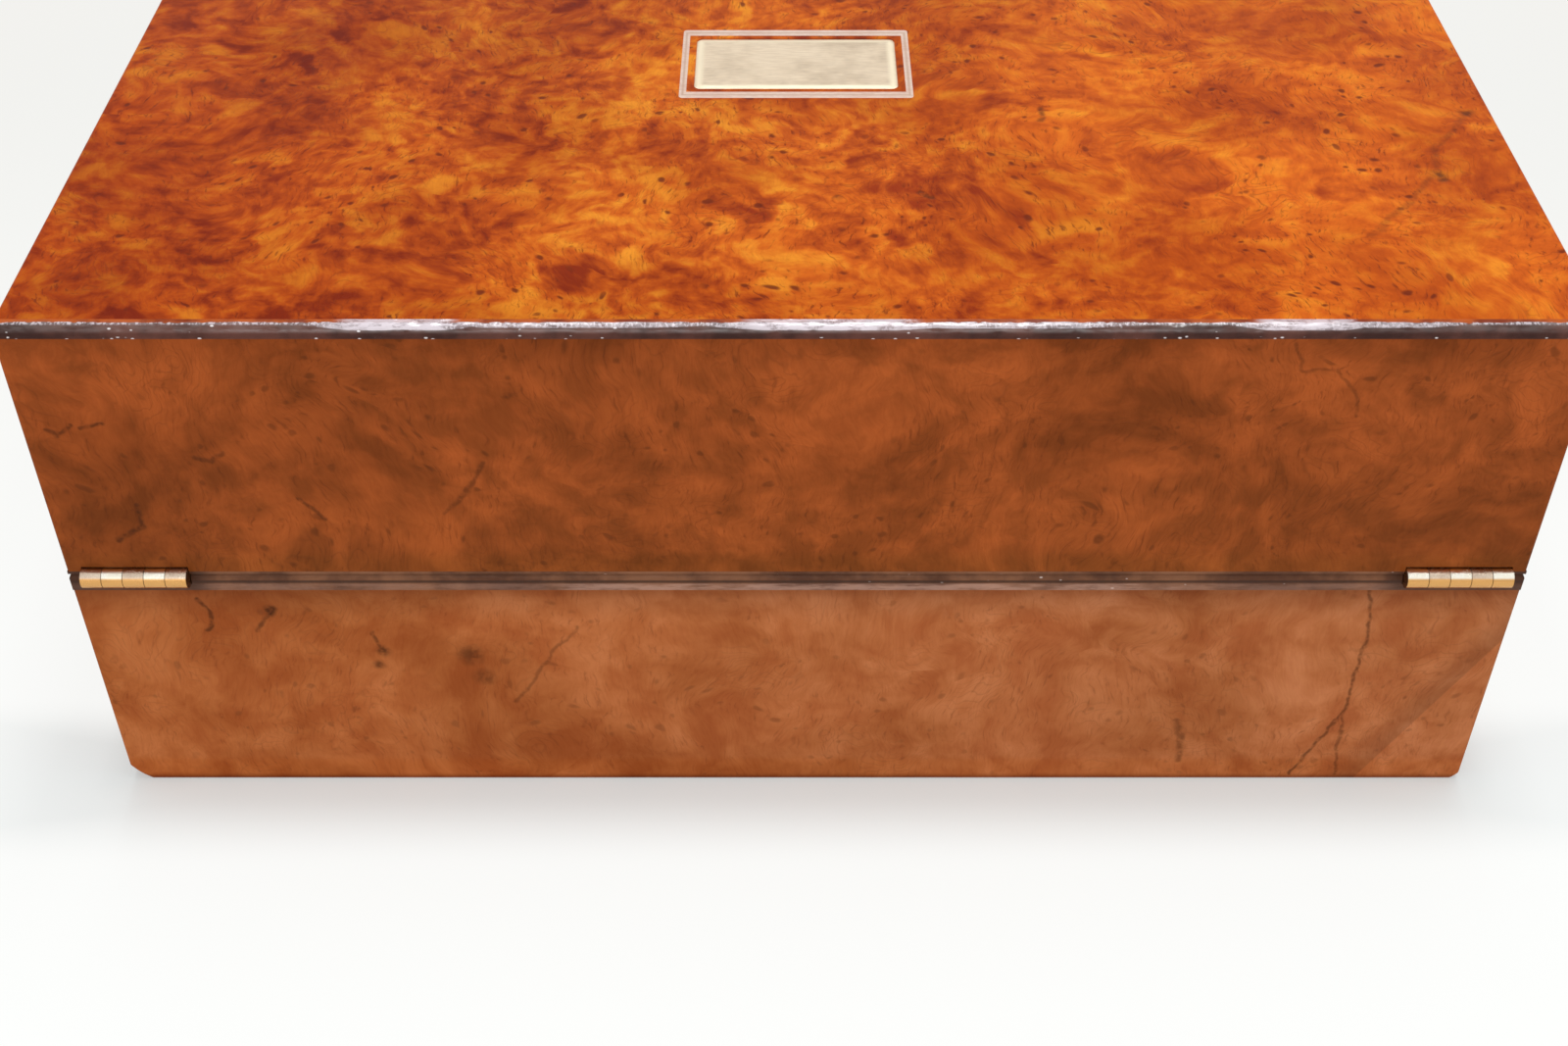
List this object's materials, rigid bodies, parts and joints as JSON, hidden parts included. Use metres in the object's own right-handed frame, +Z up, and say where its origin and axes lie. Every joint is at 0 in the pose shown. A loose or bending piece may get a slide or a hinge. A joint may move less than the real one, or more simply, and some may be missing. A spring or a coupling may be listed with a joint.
{
  "type": "writing slope",
  "caption": "Box that opens flat into a sloping writing desk, with burr-veneered walls, paper wells under leather flaps, pen tray, inkwells, lock and butt hinges.",
  "frame": {"origin": "centre of the case's underside", "axes": "+X along the width, +Y towards the hinges at the back, +Z up; the lock is at -Y"},
  "size_m": [0.35, 0.2646, 0.1455],
  "materials": {
    "burr_walnut_veneer": "French polished",
    "ebonised_wood": "worn gloss",
    "polished_walnut": "satin",
    "carcass_wood": "waxed",
    "leather": "gilt tooled",
    "glass": "cut and polished",
    "inlaid_brass": "brushed",
    "brass": "aged",
    "lock_steel": "worn"
  },
  "bodies": {
    "base": {"base_bottom_board": "carcass_wood", "base_front_board": "carcass_wood", "base_back_board": "carcass_wood", "base_left_board": "carcass_wood", "base_right_board": "carcass_wood", "base_front_veneer": "burr_walnut_veneer", "base_back_veneer": "burr_walnut_veneer", "base_left_veneer": "burr_walnut_veneer", "base_right_veneer": "burr_walnut_veneer", "base_rim_lipping": "ebonised_wood", "tray_floor": "carcass_wood", "pen_tray": "polished_walnut", "well_partition": "carcass_wood", "left_divider": "carcass_wood", "right_divider": "carcass_wood", "left_inkwell": "glass", "right_inkwell": "glass", "inkwell_collars": "brass", "left_inkwell_cap": "brass", "right_inkwell_cap": "brass", "inkwell_cap_pins": "brass", "base_flap_board": "polished_walnut", "base_flap_leather": "leather", "base_flap_ledges": "carcass_wood", "base_flap_hinges": "brass", "base_flap_screws": "brass", "left_hinge_base_leaf": "brass", "right_hinge_base_leaf": "brass", "hinge_pins": "brass", "base_screws": "brass", "lock_case": "brass", "escutcheon": "brass"},
    "lid": {"lid_top_board": "carcass_wood", "lid_front_board": "carcass_wood", "lid_back_board": "carcass_wood", "lid_left_board": "carcass_wood", "lid_right_board": "carcass_wood", "lid_top_veneer": "burr_walnut_veneer", "lid_front_veneer": "burr_walnut_veneer", "lid_back_veneer": "burr_walnut_veneer", "lid_left_veneer": "burr_walnut_veneer", "lid_right_veneer": "burr_walnut_veneer", "lid_rim_lipping": "ebonised_wood", "top_moulding": "ebonised_wood", "name_plate": "inlaid_brass", "plate_border": "inlaid_brass", "left_hinge_lid_leaf": "brass", "right_hinge_lid_leaf": "brass", "lid_screws": "brass", "lock_link_plate": "brass", "lid_flap_board": "polished_walnut", "lid_flap_leather": "leather", "lid_flap_ledges": "carcass_wood", "lid_flap_hinges": "brass", "lid_flap_screws": "brass", "catch_screws": "brass"},
    "bolt": {"lock_bolt": "lock_steel"},
    "key": {"key": "lock_steel"},
    "left_catch": {"left_flap_catch": "brass"},
    "right_catch": {"right_flap_catch": "brass"}
  },
  "joints": [
    {"name": "lid_hinge", "type": "hinge", "parent": "base", "child": "lid", "pos_m": [0, 0.1197, 0.07275], "axis": [-1, 0, 0], "range_deg": [0, 180]},
    {"name": "key_turn", "type": "hinge", "parent": "base", "child": "key", "pos_m": [0, -0.119, 0.08986], "axis": [0, 1, 0], "range_deg": [0, 36]},
    {"name": "bolt_slide", "type": "slide", "parent": "base", "child": "bolt", "axis": [1, 0, 0], "range_m": [0, 0.004]},
    {"name": "left_catch_turn", "type": "hinge", "parent": "lid", "child": "left_catch", "pos_m": [-0.125, -0.11344, 0.1071], "axis": [0, 0.1441, 0.9896], "range_deg": [0, 90]},
    {"name": "right_catch_turn", "type": "hinge", "parent": "lid", "child": "right_catch", "pos_m": [0.125, -0.11344, 0.1071], "axis": [0, -0.1441, -0.9896], "range_deg": [0, 90]}
  ],
  "couplings": [
    {"joint": "key_turn", "follows": "bolt_slide", "rad_per_m": 157.07}
  ]
}
